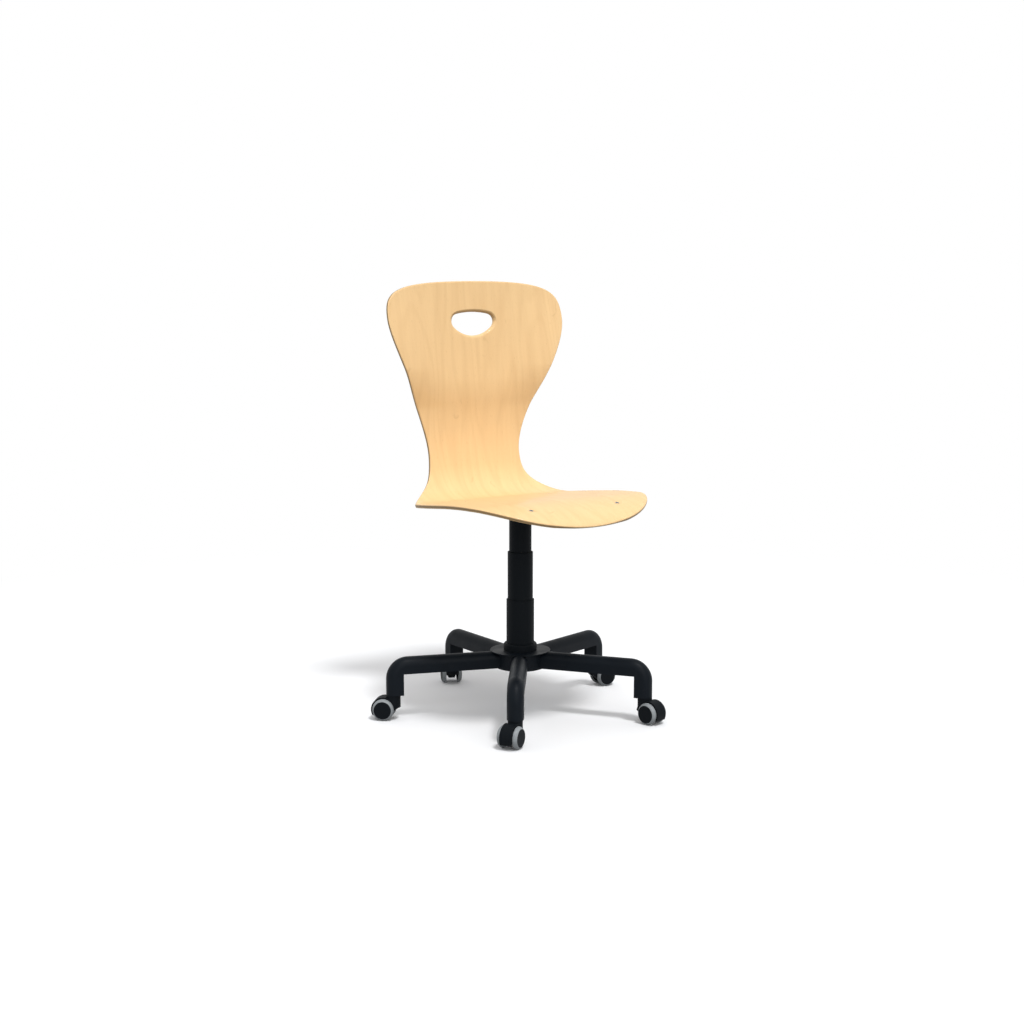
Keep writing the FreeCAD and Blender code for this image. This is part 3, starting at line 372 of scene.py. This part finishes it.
outwards = {vertex: vertex.normal.xy.normalized() for vertex in wall}
for vertex, towards in outwards.items():
    section = hold_section if in_hold(vertex.co) else edge_section
    out, down = section[round(-vertex.co.z / SHEET * ROWS_DOWN)]
    vertex.co.xy += towards * out
    vertex.co.z = -down
print("blank from %.1f to %.1f mm" % (min(v.co.y for v in sheet.verts), max(v.co.y for v in sheet.verts)))

# %% [markdown]
# ## Press the sheet
#
# The flat place of each point is kept as a UV map, in metres, so the veneer follows the bends as real grain
# does. Two attributes are kept too: the depth, for the plies, and how much of the plies' brown is drawn
# there.
# On the outside that is the sawn edge, little on the rounding and all of it on the upright part. In the hand
# hold the upper rim is brown all over: partly the plies on its rounding, partly painted shade, because that
# rim faces down; the lower rim stays pale. Then every point goes through `bend`.

# %% Keep the flat place, then bend the sheet
RIM_SHADE_SHARE, RIM_DEPTH = 0.75, 0.15  # the hand hold's rim is this brown, plies and painted shade, from this far under the face
RIM_BELOW, RIM_ABOVE = 2.0, 10.0  # it starts this far below its corners and is full this far above
BARE_FROM, BARE_OVER = 0.45, 0.4  # the outer edge turns brown over this part of its rounding
flat_place = sheet.loops.layers.uv.new("veneer")
depth_layer = sheet.verts.layers.float.new("depth")
ply_and_shade_layer = sheet.verts.layers.float.new("edge")
for face in sheet.faces:
    face.smooth = True
    for loop in face.loops:
        loop[flat_place].uv = (loop.vert.co.x * MM, loop.vert.co.y * MM)
for vertex in sheet.verts:
    under = min(-vertex.co.z, SHEET + vertex.co.z)
    vertex[depth_layer] = -vertex.co.z * MM
    if in_hold(vertex.co):
        # painted shade: the down-facing upper rim of the hand hold is drawn in the plies' brown, on top of
        # the plies that show there
        shaded_upper_rim = eased(vertex.co.y, corner_at - RIM_BELOW, corner_at + RIM_ABOVE)
        vertex[ply_and_shade_layer] = RIM_SHADE_SHARE * min(under / RIM_DEPTH, 1.0) * shaded_upper_rim
    else:
        vertex[ply_and_shade_layer] = min(max((under / EDGE_ROUND - BARE_FROM) / BARE_OVER, 0.0), 1.0)
    vertex.co = bend(vertex.co.x, vertex.co.y, -vertex.co.z)
bmesh.ops.recalc_face_normals(sheet, faces=sheet.faces[:])
print("pressed from %.1f to %.1f mm high" % (min(v.co.z for v in sheet.verts) / MM,
                                             max(v.co.z for v in sheet.verts) / MM))

# %% [markdown]
# A bmesh becomes an object at the origin, with its place in its mesh, as a CAD node has. The shell rides on
# the seat's body and stands for the plain solid there. Weighted normals let the broad faces decide the
# shading, so that the narrow rows of the rounding don't pull a shadow into them.


# %% Make the shell an object
def add_object(name, data):
    made = bpy.data.objects.new(name, data)
    bpy.context.scene.collection.objects.link(made)
    return made


def placed(piece, name):
    """Makes an object of a bmesh, at the origin."""
    mesh = bpy.data.meshes.new(name)
    piece.to_mesh(mesh)
    piece.free()
    return add_object(name, mesh)


def finished(piece, name, body):
    """Makes a piece of the chair of a bmesh, and lets it ride on its body."""
    made = placed(piece, name)
    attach(made, body)
    return made


shell = finished(sheet, "pressed_shell", "seat")
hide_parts("seat_shell")
even_light = shell.modifiers.new("even_normals", "WEIGHTED_NORMAL")
even_light.keep_sharp = True
print("pressed shell: %d triangles" % sum(len(p.vertices) - 2 for p in shell.data.polygons))

# %% [markdown]
# ## Helpers for the finishes
#
# Hex colours are how paint and web colours are written, but Blender works in linear light, so one function
# turns them by the sRGB curve. Another fills a node's inputs: it links what is a socket and sets what is a
# value. A third adds a node with its fields and inputs. The three names that start with MIX stand for the
# colour sockets of a Mix node, which share their names with its number sockets, so only their place tells
# them apart.

# %% Colour and node helpers
MIX_A, MIX_B, MIX_OUT = 6, 7, 2


def colour(text):
    values = [int(text[k:k + 2], 16) / 255 for k in (1, 3, 5)]
    return tuple(v / 12.92 if v <= 0.04045 else ((v + 0.055) / 1.055) ** 2.4 for v in values) + (1.0,)


def fill(node, inputs):
    for name, value in inputs.items():
        if isinstance(value, bpy.types.NodeSocket):
            node.id_data.links.new(value, node.inputs[name])
        else:
            node.inputs[name].default_value = value


def add_node(tree, kind, inputs=None, **fields):
    node = tree.nodes.new("ShaderNode" + kind)
    for name, value in fields.items():
        setattr(node, name, value)
    fill(node, inputs or {})
    return node


def new_material(name):
    material = bpy.data.materials.new(name)
    material.use_nodes = True
    return material, material.node_tree, material.node_tree.nodes["Principled BSDF"]


print("middle grey in linear light:", [round(v, 3) for v in colour("#808080")])

# %% [markdown]
# ## Lacquered beech veneer
#
# Beech is peeled or sliced into veneers about a millimetre thick. Its grain is fine and pale: short fibres,
# broad streaks that are only a shade darker, a few growth lines that open into arches, and here and there a
# small hooked mark where a twig once grew. A clear matt lacquer closes it, and the fibres under it shimmer
# at a flat angle. An image would be the easy way. Here noise that is stretched along the sheet gives the
# fibres and the streaks, a slow noise read as contour lines gives the arches, and cells that are far apart
# carry the marks. Real fibres and flecks are finer than a pixel, so they are drawn as coarse as they need to
# be to show.

# %% Fibres, streaks and growth lines
FIBRE, STREAK = 1.4 * MM, 22 * MM
FIBRE_STRETCH, STREAK_STRETCH = 0.02, 0.08  # the less, the longer along the sheet
ARCHES = (6.0, 1.0, 1.0)  # to the metre, across and along the sheet
CONTOURS = 120.0  # the more, the closer the growth lines
beech, tree, surface = new_material("beech_veneer_matt_lacquer")
flat = add_node(tree, "UVMap", uv_map="veneer").outputs[0]
across = add_node(tree, "Mapping", {"Vector": flat, "Scale": (1.0, FIBRE_STRETCH, 1.0)})
fibres = add_node(tree, "TexNoise", {"Vector": across.outputs[0], "Scale": 1 / FIBRE, "Detail": 3.0,
                                     "Roughness": 0.6})
broad = add_node(tree, "Mapping", {"Vector": flat, "Scale": (1.0, STREAK_STRETCH, 1.0)})
streaks = add_node(tree, "TexNoise", {"Vector": broad.outputs[0], "Scale": 1 / STREAK, "Detail": 3.0,
                                      "Roughness": 0.55})
slow = add_node(tree, "Mapping", {"Vector": flat, "Scale": ARCHES})
arches = add_node(tree, "TexNoise", {"Vector": slow.outputs[0], "Scale": 1.0, "Detail": 2.0,
                                     "Roughness": 0.45})
rings = add_node(tree, "Math", {0: arches.outputs["Fac"], 1: CONTOURS}, operation="MULTIPLY")
wave = add_node(tree, "Math", {0: rings.outputs[0]}, operation="SINE")
growth = add_node(tree, "MapRange", {"Value": wave.outputs[0], "To Max": 0.12})
print("fibres %.1f mm, streaks %.0f mm" % (FIBRE / MM, STREAK / MM))

# %% Hooked marks
MARKS_APART, MARK_STRETCH = 105 * MM, 0.5
MARK_RADIUS, MARK_LINE = 0.11, 0.025  # as shares of the distance between marks
WARP, WARP_BY = 30 * MM, (0.03, 0.03, 0.0)
uneven = add_node(tree, "TexNoise", {"Vector": flat, "Scale": 1 / WARP, "Detail": 2.0})
shift = add_node(tree, "VectorMath", {0: uneven.outputs["Color"], 1: WARP_BY}, operation="MULTIPLY")
bent = add_node(tree, "VectorMath", {0: flat, 1: shift.outputs[0]}, operation="ADD")
drawn = add_node(tree, "Mapping", {"Vector": bent.outputs[0], "Scale": (1.0, MARK_STRETCH, 1.0)})
cells = add_node(tree, "TexVoronoi", {"Vector": drawn.outputs[0], "Scale": 1 / MARKS_APART},
                 feature="F1", voronoi_dimensions="2D")
off_ring = add_node(tree, "Math", {0: cells.outputs["Distance"], 1: MARK_RADIUS}, operation="SUBTRACT")
near_ring = add_node(tree, "Math", {0: off_ring.outputs[0]}, operation="ABSOLUTE")
ring = add_node(tree, "MapRange", {"Value": near_ring.outputs[0], "From Max": MARK_LINE,
                                   "To Min": 1.0, "To Max": 0.0})
part = add_node(tree, "MapRange", {"Value": uneven.outputs["Fac"], "From Min": 0.5, "From Max": 0.6,
                                   "To Max": 0.2})
hook = add_node(tree, "Math", {0: ring.outputs[0], 1: part.outputs[0]}, operation="MULTIPLY")
print("marks %.0f mm apart" % (MARKS_APART / MM))

# %% Flecks
FLECK, FLECK_STRETCH = 2 * MM, 0.2
fleck_place = add_node(tree, "Mapping", {"Vector": flat, "Scale": (1.0, FLECK_STRETCH, 1.0)})
flecks = add_node(tree, "TexNoise", {"Vector": fleck_place.outputs[0], "Scale": 1 / FLECK, "Detail": 1.0})
fleck = add_node(tree, "MapRange", {"Value": flecks.outputs["Fac"], "From Min": 0.64, "From Max": 0.8,
                                    "To Max": 0.3})
print("flecks %.0f mm" % (FLECK / MM))

# %% Colour of the face
grain = add_node(tree, "MapRange", {"Value": fibres.outputs["Fac"], "From Min": 0.25, "From Max": 0.75,
                                    "To Min": 0.3, "To Max": 0.7})
wide = add_node(tree, "MapRange", {"Value": streaks.outputs["Fac"], "From Min": 0.35, "From Max": 0.7,
                                   "To Max": 0.32})
# Each layer lies over the one before, as thick as its factor says.
LAYERS = [("grain", grain, "#F4CC96"), ("streaks", wide, "#E6BC86"), ("growth lines", growth, "#DDB27A"),
          ("hooked marks", hook, "#B98F5E"), ("flecks", fleck, "#C99F6C")]
wood = colour("#FBD8A2")
for name, share, tint in LAYERS:
    wood = add_node(tree, "Mix", {"Factor": share.outputs[0], MIX_A: wood, MIX_B: colour(tint)},
                    data_type="RGBA").outputs[MIX_OUT]
    print(name, "in", tint)

# %% [markdown]
# The edge shows the plies. Seven veneers lie crossed, so every other one shows its end grain, which soaks up
# the lacquer and looks darker.

# %% Plies on the edge
VENEERS = 7
PLY = SHEET / VENEERS * MM
PLY_BLUR = 0.4  # the more, the softer the line between two plies
depth = add_node(tree, "Attribute", attribute_name="depth")
layer = add_node(tree, "Math", {0: depth.outputs["Fac"], 1: math.pi / PLY}, operation="MULTIPLY")
layers = add_node(tree, "Math", {0: layer.outputs[0]}, operation="SINE")
ply = add_node(tree, "MapRange", {"Value": layers.outputs[0], "From Min": -PLY_BLUR, "From Max": PLY_BLUR})
plies = add_node(tree, "Mix", {"Factor": ply.outputs[0], MIX_A: colour("#846845"), MIX_B: colour("#AC8F66")},
                 data_type="RGBA")
# The edge attribute brings in the plies on the sawn edge, and on the hand hold's upper rim the same brown as
# painted shade.
sawn = add_node(tree, "Attribute", attribute_name="edge")
wood = add_node(tree, "Mix", {"Factor": sawn.outputs["Fac"], MIX_A: wood, MIX_B: plies.outputs[MIX_OUT]},
                data_type="RGBA").outputs[MIX_OUT]
print("plies of %.2f mm" % (PLY / MM))

# %% Lacquer
bump = add_node(tree, "Bump", {"Height": fibres.outputs["Fac"], "Strength": 0.06, "Distance": 0.2 * MM})
fill(surface, {"Base Color": wood, "Normal": bump.outputs[0], "Roughness": 0.5, "Specular IOR Level": 0.1,
               "Coat Weight": 0.25, "Coat Roughness": 0.1,
               "Sheen Weight": 0.4, "Sheen Roughness": 0.25, "Sheen Tint": colour("#FFE3AE")})
shell.data.materials.append(beech)
print(beech.name)

# %% [markdown]
# ## Black powder-coated steel
#
# The base, the column and the parts under the seat are steel with black powder baked on. It is satin, with
# a very fine orange-peel texture that spreads each highlight into a soft strip. Noise at a millimetre and a
# half gives the peel, and the roughness changes a little from place to place. Several finishes are speckled
# like this, with a colour and a roughness that follow one noise, so a function makes them.


# %% Powder-coated steel
def speckled(name, size, detail, dark, light, rough, spread=(0.0, 1.0), relief=None, settings=None):
    """One noise gives the colour and the roughness. The relief is the size, the detail and the strength
    of the noise that the bumps follow."""
    material, tree, surface = new_material(name)
    place = add_node(tree, "TexCoord").outputs["Object"]
    speck = add_node(tree, "TexNoise", {"Vector": place, "Scale": 1 / size, "Detail": detail}).outputs["Fac"]
    shade = add_node(tree, "Mix", {"Factor": speck, MIX_A: colour(dark), MIX_B: colour(light)},
                     data_type="RGBA")
    blur = add_node(tree, "MapRange", {"Value": speck, "From Min": spread[0], "From Max": spread[1],
                                       "To Min": rough[0], "To Max": rough[1]})
    fill(surface, {"Base Color": shade.outputs[MIX_OUT], "Roughness": blur.outputs[0], **(settings or {})})
    if relief:
        size, detail, strength = relief
        rise = add_node(tree, "TexNoise", {"Vector": place, "Scale": 1 / size, "Detail": detail})
        bump = add_node(tree, "Bump", {"Height": rise.outputs["Fac"], "Strength": strength,
                                       "Distance": 0.1 * MM})
        fill(surface, {"Normal": bump.outputs[0]})
    return material


CLOUD, PEEL = 30 * MM, 1.5 * MM
powder = speckled("black_powder_coated_steel", CLOUD, 3.0, "#0C1117", "#11171D", rough=(0.42, 0.52),
                  spread=(0.3, 0.7), relief=(PEEL, 2.0, 0.15), settings={"Specular IOR Level": 0.09})
print(powder.name)

# %% [markdown]
# ## Moulded black plastic
#
# Covers, castor hoods and wheels are glass-filled nylon or polypropylene, moulded in a spark-eroded mould.
# That leaves a fine even grit, so the plastic is duller than the steel beside it. The real grit is a tenth
# of a millimetre, and is drawn as coarse as it needs to be to show.

# %% Moulded plastic
GRIT = 0.8 * MM
plastic = speckled("black_moulded_nylon", GRIT, 1.0, "#0B0F13", "#12161A", rough=(0.5, 0.62),
                   spread=(0.3, 0.7), relief=(GRIT, 1.0, 0.25), settings={"Specular IOR Level": 0.07})
print(plastic.name)

# %% [markdown]
# ## Grey tread
#
# The soft treads are thermoplastic polyurethane, cast round the wheel. They are pale grey, matt, and dusty
# where they roll.

# %% Grey polyurethane tread
DUST = 4 * MM
tread = speckled("grey_polyurethane_tread", DUST, 4.0, "#7F8488", "#94999C", rough=(0.45, 0.6))
print(tread.name)

# %% [markdown]
# ## Zinc-plated and chromed steel, and acetal
#
# Screws, nuts, stems and axles are zinc plated, which is a bluish grey metal with a soft blur. The rod of
# the gas spring is chromed and ground to a mirror. The button and the bush are acetal, a milky white plastic
# with a soft shine. The crystals of the zinc and the marks of the grinding are finer than a pixel, and are
# drawn as coarse as they need to be to show.

# %% Zinc plating
CRYSTAL = 2 * MM
zinc = speckled("zinc_plated_steel", CRYSTAL, 3.0, "#8F9296", "#A9ACB0", rough=(0.28, 0.42),
                settings={"Metallic": 1.0})
print(zinc.name)

# %% Ground chrome
MARK_LENGTH, MARK_WIDTH = 50 * MM, 0.25 * MM  # they run round the rod
chrome, tree, surface = new_material("ground_chromed_steel")
place = add_node(tree, "TexCoord").outputs["Object"]
around = add_node(tree, "Mapping", {"Vector": place,
                                    "Scale": (1 / MARK_LENGTH, 1 / MARK_LENGTH, 1 / MARK_WIDTH)})
ground = add_node(tree, "TexNoise", {"Vector": around.outputs[0], "Scale": 1.0, "Detail": 2.0})
rough = add_node(tree, "MapRange", {"Value": ground.outputs["Fac"], "To Min": 0.06, "To Max": 0.14})
fill(surface, {"Base Color": colour("#C6C8CB"), "Roughness": rough.outputs[0], "Metallic": 1.0})
print(chrome.name)

# %% Acetal
MILK = 6 * MM
acetal, tree, surface = new_material("natural_acetal")
place = add_node(tree, "TexCoord").outputs["Object"]
milk = add_node(tree, "TexNoise", {"Vector": place, "Scale": 1 / MILK})
shade = add_node(tree, "Mix", {"Factor": milk.outputs["Fac"], MIX_A: colour("#E4E2DA"),
                               MIX_B: colour("#EFEDE6")}, data_type="RGBA")
fill(surface, {"Base Color": shade.outputs[MIX_OUT], "Roughness": 0.35})
print(acetal.name)

# %% [markdown]
# ## Dress the CAD nodes
#
# The record names the slot of each node. Each slot has one finish here, so the nodes are dressed in one
# pass.

# %% Give every node its finish
finishes = {"plywood": beech, "black_steel": powder, "black_plastic": plastic, "grey_tread": tread,
            "zinc_steel": zinc, "chromed_steel": chrome, "natural_plastic": acetal}
slot_of = {part["node"]: part["material_slot"] for part in frame["record"]["subparts"]}
for name, node in frame["nodes"].items():
    node.data.materials.clear()
    node.data.materials.append(finishes[slot_of[name]])
print(len(slot_of), "nodes dressed")

# %% [markdown]
# ## Camera
#
# The photograph was taken from the sitter's right, a little above the seat, with a longish lens. The place
# was found by laying the CAD model over the photograph until outline, hand hold and castors agreed.

# %% Place the camera
CAMERA_AT, LOOKS_ALONG = (-2.1392, -3.1734, 1.0167), (0.5492, 0.8236, -0.1417)
FOCAL_LENGTH, SENSOR = 58.92, 36.0


def aimed(direction):
    """The turn that makes a camera or a lamp, which look down, look in a direction."""
    return Vector(direction).to_track_quat("-Z", "Y").to_euler()


lens = bpy.data.cameras.new("camera")
lens.lens = FOCAL_LENGTH
lens.sensor_width = SENSOR
camera = add_object("camera", lens)
camera.location = CAMERA_AT
camera.rotation_euler = aimed(LOOKS_ALONG)
bpy.context.scene.camera = camera
print("camera at", CAMERA_AT)

# %% [markdown]
# ## Floor
#
# A catalogue photograph is taken on a white sweep. The floor is white and takes the shadows, and further out
# it fades to plain white, as the sweep does. What the camera and the gloss see is white; the light that it
# throws back on the chair is weaker, because in a studio the sweep is small and the room behind is dark.


# %% What sees the white
def seen_share(tree):
    """One for a ray of the camera, of gloss or through glass, and zero for the light on the chair."""
    path = add_node(tree, "LightPath")
    gloss = add_node(tree, "Math", {0: path.outputs["Is Glossy Ray"],
                                    1: path.outputs["Is Transmission Ray"]}, operation="MAXIMUM")
    return add_node(tree, "Math", {0: gloss.outputs[0], 1: path.outputs["Is Camera Ray"]},
                    operation="MAXIMUM").outputs[0]


print("white for camera, gloss and glass")

# %% White sweep
FLOOR_RADIUS, FADE_START, FADE_END = 30.0, 1.0, 2.4  # in metres
THROWN_BACK, SEEN, FAR_LIGHT = "#848484", "#FAFBFD", 0.28
WHITE = (1.0, 1.0, 1.0, 1.0)
floor_shape = bmesh.new()
bmesh.ops.create_circle(floor_shape, cap_ends=True, segments=64, radius=FLOOR_RADIUS)
floor = placed(floor_shape, "floor")

sweep, tree, surface = new_material("white_sweep")
seen = seen_share(tree)
paint = add_node(tree, "Mix", {"Factor": seen, MIX_A: colour(THROWN_BACK), MIX_B: colour(SEEN)},
                 data_type="RGBA")
fill(surface, {"Base Color": paint.outputs[MIX_OUT], "Roughness": 0.7, "Specular IOR Level": 0.0})
place = add_node(tree, "TexCoord").outputs["Object"]
far = add_node(tree, "VectorMath", {0: place}, operation="LENGTH")
fade = add_node(tree, "MapRange", {"Value": far.outputs["Value"], "From Min": FADE_START,
                                   "From Max": FADE_END}, interpolation_type="SMOOTHSTEP")
strength = add_node(tree, "MapRange", {"Value": seen, "To Min": FAR_LIGHT})
white = add_node(tree, "Emission", {"Color": WHITE, "Strength": strength.outputs[0]})
mixed = add_node(tree, "MixShader", {0: fade.outputs[0], 1: surface.outputs[0], 2: white.outputs[0]})
fill(tree.nodes["Material Output"], {"Surface": mixed.outputs[0]})
floor.data.materials.append(sweep)
print(floor.name, "of", sweep.name)

# %% [markdown]
# ## Light
#
# The photograph tells where its light was. The seat is brighter than the back, so most of it comes from
# above. The shadow of the seat lies on the floor a little behind it and that of the back far behind, with
# edges a few centimetres soft: the key stands high in front and is about as wide as eleven degrees of the
# sky. A wide soft lamp near the camera and a bright room, brighter overhead, fill the rest.

# %% Bright room
ROOM, OVERHEAD = 0.46, 0.45
BRIGHTEST, NARROWING = (0.0, 0.2, 0.98), 3.0
world = bpy.data.worlds.new("white_room")
bpy.context.scene.world = world
world.use_nodes = True
tree = world.node_tree
sky = add_node(tree, "TexCoord").outputs["Generated"]
upwards = add_node(tree, "VectorMath", {0: sky, 1: BRIGHTEST}, operation="DOT_PRODUCT")
above = add_node(tree, "Math", {0: upwards.outputs["Value"], 1: 0.0}, operation="MAXIMUM")
narrowed = add_node(tree, "Math", {0: above.outputs[0], 1: NARROWING}, operation="POWER")
falls = add_node(tree, "MapRange", {"Value": narrowed.outputs[0], "To Min": ROOM, "To Max": ROOM + OVERHEAD})
level = add_node(tree, "Mix", {"Factor": seen_share(tree), "A": falls.outputs[0], "B": 1.0},
                 data_type="FLOAT")
fill(tree.nodes["Background"], {"Color": WHITE, "Strength": level.outputs[0]})
print("room", ROOM, "and overhead", ROOM + OVERHEAD)

# %% Two lamps
LAMPS = [("key", 1.6, 11.0, (0.02, 0.48, -1.0)),  # strength, width in degrees and direction
         ("fill", 0.8, 50.0, (0.3, 1.0, -0.5))]
for name, energy, wide, shines in LAMPS:
    lamp = bpy.data.lights.new(name, "SUN")
    lamp.energy = energy
    lamp.angle = math.radians(wide)
    add_object(name, lamp).rotation_euler = aimed(shines)
    print(name, energy, "wide", wide)
bpy.context.scene.view_settings.view_transform = "Standard"
